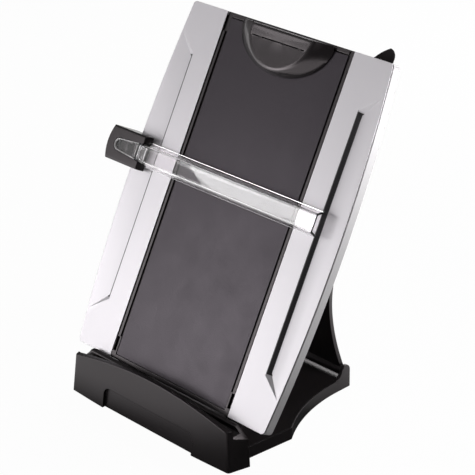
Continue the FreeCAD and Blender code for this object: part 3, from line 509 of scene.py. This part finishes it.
guide = {"middle": 186.5, "start": -112.0, "end": 107.5, "stations": 6, "smooth": 40,
         # the bar's section: depths, half heights at the front and the flanges, hollow and wall
         "front": -12.0, "back": -4.0, "frontHalf": 9.0, "backHalf": 11.6, "hollow": 0.18,
         "wall": 1.9, "corner": 0.9, "nick": 0.3, "step": 0.25, "lip": 0.4,
         "innerShare": 0.75, "innerStep": 0.5, "bow": 12,
         # the half round left end, by the angles of its rings
         "roundEnd": 4.5, "endAngles": (14, 25, 38, 52, 66, 80),
         "edge": 0.2, "edgeAngle": 50,
         # the barrel on its pin, and the neck that joins it to the bar
         "pin": -120.5, "pinDepth": -7.4, "barrel": 2.6, "barrelHalf": 7.0,
         "neckFront": 2.0, "neckBack": 1.2, "neckInset": 1,
         # the press tongue: round end, half height there and at the arm, plate and dished floor
         "tongueEnd": -144.4, "tongueHalf": 5.6, "tongueMouth": 7.8, "tonguePast": 1.0,
         "tongueFront": 0.1, "tongueBack": 2.4, "rim": 1.1, "rimHeight": 0.7,
         "dishEnd": 4.5, "dishHalf": 6.4, "dishFront": 1.0}

# the tongue's rim, whitened as a painted highlight of light caught in the clear edge: outer and
# inner inset, depths from the bar's front, edge width
tongueRim = {"outer": -0.15, "inner": 0.85, "front": 0.25, "back": 1.0, "edge": 0.3}

# the dark catch on the floor of the slider's pocket
catchPad = {"left": -138.6, "right": -130.4, "half": 4.6, "floor": -4.4, "thickness": 0.3}


def arcPoints(first, middle, last, steps):
    # a smooth bow through three (depth, up) points
    points = []
    for step in range(steps + 1):
        t = step / steps
        bow = [a * (1 - t) * (1 - 2 * t) + b * 4 * t * (1 - t) + c * t * (2 * t - 1)
               for a, b, c in zip(first, middle, last)]
        points.append(tuple(bow))
    return points


def guideSection():
    # hollow front, flared flanges behind it, then back along the inside
    f, b, w = guide["frontHalf"], guide["backHalf"], guide["wall"]
    front, back, hollow, r = guide["front"], guide["back"], guide["hollow"], guide["corner"]
    nick, step, lip, bow = (guide[key] for key in ("nick", "step", "lip", "bow"))
    share, inner = guide["innerShare"], front + w + guide["innerStep"]
    outside = [(front + r, f + step), (front + nick * r, f - step * r)]
    outside += arcPoints((front, f - r), (front + hollow, 0), (front, r - f), bow)
    outside += [(front + nick * r, step * r - f), (front + r, -f - step),
                (back - lip, -b), (back, -b + lip)]
    inside = [(back, -b + w), (inner, w * share - f)]
    inside += arcPoints((front + w, w - f + lip), (front + hollow + w, 0),
                        (front + w, f - w - lip), bow)
    inside += [(inner, f - w * share), (back, b - w), (back, b - lip), (back - lip, b)]
    return outside + inside


def guideRings():
    # the left end closes in a half round
    rings = []
    start, length, count = guide["start"], guide["end"] - guide["start"], guide["stations"]
    stations = [(start - guide["roundEnd"] * math.cos(math.radians(a)),
                 math.sin(math.radians(a))) for a in guide["endAngles"]]
    stations += [(start + length * i / count, 1.0) for i in range(count + 1)]
    for x, share in stations:
        rings.append([(x, depth, guide["middle"] + up * share) for depth, up in guideSection()])
    return rings


def tongueOutline(inset):
    # a half round at the left, then the two corners at the arm
    end, middle, far = guide["tongueEnd"], guide["middle"], guide["pin"] + guide["tonguePast"]
    half, mouth = guide["tongueHalf"] - inset, guide["tongueMouth"] - inset
    points = [(end - half * math.sin(math.radians(a)), middle + half * math.cos(math.radians(a)))
              for a in range(0, 181, 10)]
    return points + [(far, middle - mouth), (far, middle + mouth)]


def ringOn(name, outer, inner, front, back):
    # a flat ring between two outlines of equal length
    work = bmesh.new()
    rows = [[work.verts.new(onPlatform(x, depth, up)) for x, up in outline]
            for outline, depth in ((outer, front), (outer, back), (inner, back), (inner, front))]
    for low, high in zip(rows, rows[1:] + rows[:1]):
        for i in range(len(low)):
            j = (i + 1) % len(low)
            work.faces.new((low[i], low[j], high[j], high[i]))
    bmesh.ops.recalc_face_normals(work, faces=work.faces)
    return meshFrom(work, name)


def makeTongue():
    # a dished plate on the barrel that turns on the pin
    front, middle, pin = guide["front"], guide["middle"], guide["pin"]
    face, half = front + guide["tongueFront"], guide["barrelHalf"]
    tongue = slabOn("tongue", tongueOutline(0), face, front + guide["tongueBack"])
    mouth = [(pin - guide["dishEnd"], middle - guide["dishHalf"]),
             (pin - guide["dishEnd"], middle + guide["dishHalf"])]
    joinWith(tongue, slabOn("dish", tongueOutline(guide["rim"])[:-2] + mouth,
                            front - guide["dishFront"], face + guide["rimHeight"]), "DIFFERENCE")
    joinWith(tongue, barrelOn("barrel", guide["barrel"], middle - half, middle + half, pin,
                              guide["pinDepth"]))
    return tongue


def makeGuide():
    middle, pin, depth = guide["middle"], guide["pin"], guide["pinDepth"]
    mesh = meshFrom(closedLoft(guideRings(), onPlatform), "guideBar", guide["smooth"])
    bar = pieceFrom("guideBar", mesh, "guide_arm", clear)
    joinWith(bar, makeTongue())
    low = middle - guide["barrelHalf"] + guide["neckInset"]
    high = middle + guide["barrelHalf"] - guide["neckInset"]
    far = guide["start"] + guide["neckInset"]
    joinWith(bar, slabOn("neck", [(pin, low), (far, low), (far, high), (pin, high)],
                         depth - guide["neckFront"], depth + guide["neckBack"]))
    smoothed(bar.data, guide["smooth"])
    bevelled(bar, guide["edge"], guide["edgeAngle"])
    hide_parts("guide_bar")


def makeRim():
    front = guide["front"]
    mesh = ringOn("tongueRim", tongueOutline(tongueRim["outer"]),
                  tongueOutline(tongueRim["inner"]), front - tongueRim["front"],
                  front + tongueRim["back"])
    # the rim takes the painted highlight
    rim = pieceFrom("tongueRim", mesh, "guide_arm", whitenedRimHighlight)
    rounded(rim, tongueRim["edge"])


def makeCatch():
    low, high = guide["middle"] - catchPad["half"], guide["middle"] + catchPad["half"]
    left, right, floor = catchPad["left"], catchPad["right"], catchPad["floor"]
    catch = slabOn("catch", [(left, low), (right, low), (right, high), (left, high)],
                   floor - catchPad["thickness"], floor)
    catch.data.materials.append(matteBlack)
    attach(catch, "guide_slider")


makeGuide()
makeRim()
makeCatch()
print("clear guide ready")

# the white room: floorShow is how much of the floor the camera sees as plain white, and the last
# three are ramps that glossy rays meet, by direction, start, end and the values there; the two
# floor ramps are painted shade next to the object and painted light further out
studio = {"soft": 0.05, "floorShow": 0.97, "floorGrey": (0.86, 0.86, 0.86), "white": (1, 1, 1),
          "floorHalf": 30.0, "floorDrop": 0.0002,
          "room": ((-0.866, -0.5, 0.0), 0.4, 0.85, 0.03, 0.5),
          "paintedFloorFront": ((-0.3, -0.95, 0.0), 0.045, 0.105, 0.05, 1.35),
          "paintedFloorBack": ((0.25, 0.97, 0.0), 0.12, 0.22, 0.0, 1.25)}


def studioFloor():
    paint = Paint("studioFloor")
    lit = paint.node("ShaderNodeBsdfDiffuse", values={"Color": studio["floorGrey"]})
    # painted shade and light: what glossy rays see of the floor is dark next to the object and
    # bright further to the front and back
    mirrored = paint.towards(*studio["paintedFloorFront"]) + paint.towards(*studio["paintedFloorBack"])
    glossy = paint.node("ShaderNodeLightPath", out="Is Glossy Ray")
    shown = paint.mix(glossy, studio["white"], mirrored)
    glow = paint.node("ShaderNodeEmission", values={"Color": shown, "Strength": 1.0})
    part = paint.seen(studio["floorShow"], 1.0)
    return paint.surface(paint.node("ShaderNodeMixShader", values={0: part, 1: lit, 2: glow}))


def studioWorld():
    paint = Paint("studioWorld", bpy.data.worlds, "ShaderNodeOutputWorld")
    soft, bright = (paint.node("ShaderNodeBackground",
                               values={"Color": studio["white"], "Strength": strength})
                    for strength in (studio["soft"], 1.0))
    part = paint.seen(1.0, paint.towards(*studio["room"]))
    return paint.surface(paint.node("ShaderNodeMixShader", values={0: part, 1: soft, 2: bright}))


def makeFloor():
    mesh = bpy.data.meshes.new("floor")
    half = studio["floorHalf"]
    mesh.from_pydata([(-half, -half, 0), (half, -half, 0), (half, half, 0), (-half, half, 0)], [],
                     [(0, 1, 2, 3)])
    mesh.materials.append(studioFloor())
    floor = linked("floor", mesh)
    floor.location.z = -studio["floorDrop"]


makeFloor()
bpy.context.scene.world = studioWorld()

# bearing from straight ahead and height in degrees, power in watts and the rest in metres; a
# lamp aims at the middle line, lampAim behind the origin and at its own aim height
lampAim = 0.08
lampFacts = ("bearing", "height", "distance", "width", "depth", "power", "aim")
lamps = {
    "main": (-33, 8, 1.3, 0.62, 0.38, 2.5, 0.17),
    "strip": (-38.3, 19.0, 1.3, 0.34, 0.24, 1.25, 0.17),
    "top": (-51.7, 36.8, 1.31, 0.3, 0.2, 0.6, 0.17),
    "low": (-45, 8, 0.75, 0.4, 0.4, 0.75, 0.06),
    "lowMiddle": (-20, 5, 0.75, 0.4, 0.4, 0.75, 0.05),
    "rim": (115, 37, 0.415, 0.15, 0.15, 0.5, 0.17),
    "flank": (110.8, 18, 0.304, 0.08, 0.08, 0.42, 0.2),
    "rear": (-150, 25, 1.3, 0.6, 0.6, 5.0, 0.17),
    "rearHigh": (-172, 22, 1.3, 0.6, 0.6, 4.0, 0.17),
}


def makeLamp(name, facts):
    data = bpy.data.lights.new(name, "AREA")
    data.shape = "RECTANGLE"
    data.energy = facts["power"]
    data.size, data.size_y = facts["width"], facts["depth"]
    bearing, height = math.radians(facts["bearing"]), math.radians(facts["height"])
    away = Vector((math.sin(bearing) * math.cos(height), -math.cos(bearing) * math.cos(height),
                   math.sin(height)))
    lamp = linked(name, data)
    lamp.location = Vector((0, lampAim, facts["aim"])) + away * facts["distance"]
    lamp.rotation_mode = "QUATERNION"
    lamp.rotation_quaternion = away.to_track_quat("Z", "Y")


for name, values in lamps.items():
    makeLamp(name, dict(zip(lampFacts, values)))

# angles in degrees, places and lens in millimetres, clipping in metres
eye = {"azimuth": 46.08, "elevation": 25.47, "roll": -0.85, "across": 63.1, "up": 166.3,
       "distance": 1743.4, "lens": 145.6, "sensor": 36.0, "near": 0.05, "far": 100.0}


def makeCamera():
    a, e, t = (math.radians(eye[key]) for key in ("azimuth", "elevation", "roll"))
    back = Vector((math.sin(a) * math.cos(e), -math.cos(a) * math.cos(e), math.sin(e)))
    right = Vector((math.cos(a), math.sin(a), 0))
    above = back.cross(right)
    turnedRight = right * math.cos(t) + above * math.sin(t)
    turnedUp = above * math.cos(t) - right * math.sin(t)
    place = (back * eye["distance"] + turnedRight * eye["across"] + turnedUp * eye["up"]) * mm
    data = bpy.data.cameras.new("camera")
    data.lens, data.sensor_width = eye["lens"], eye["sensor"]
    data.clip_start, data.clip_end = eye["near"], eye["far"]
    camera = linked("camera", data)
    axes = Matrix((turnedRight, turnedUp, back)).transposed()
    camera.matrix_world = Matrix.Translation(place) @ axes.to_4x4()
    bpy.context.scene.camera = camera


makeCamera()
bpy.context.scene.view_settings.view_transform = "Standard"
print("floor, light and camera ready")
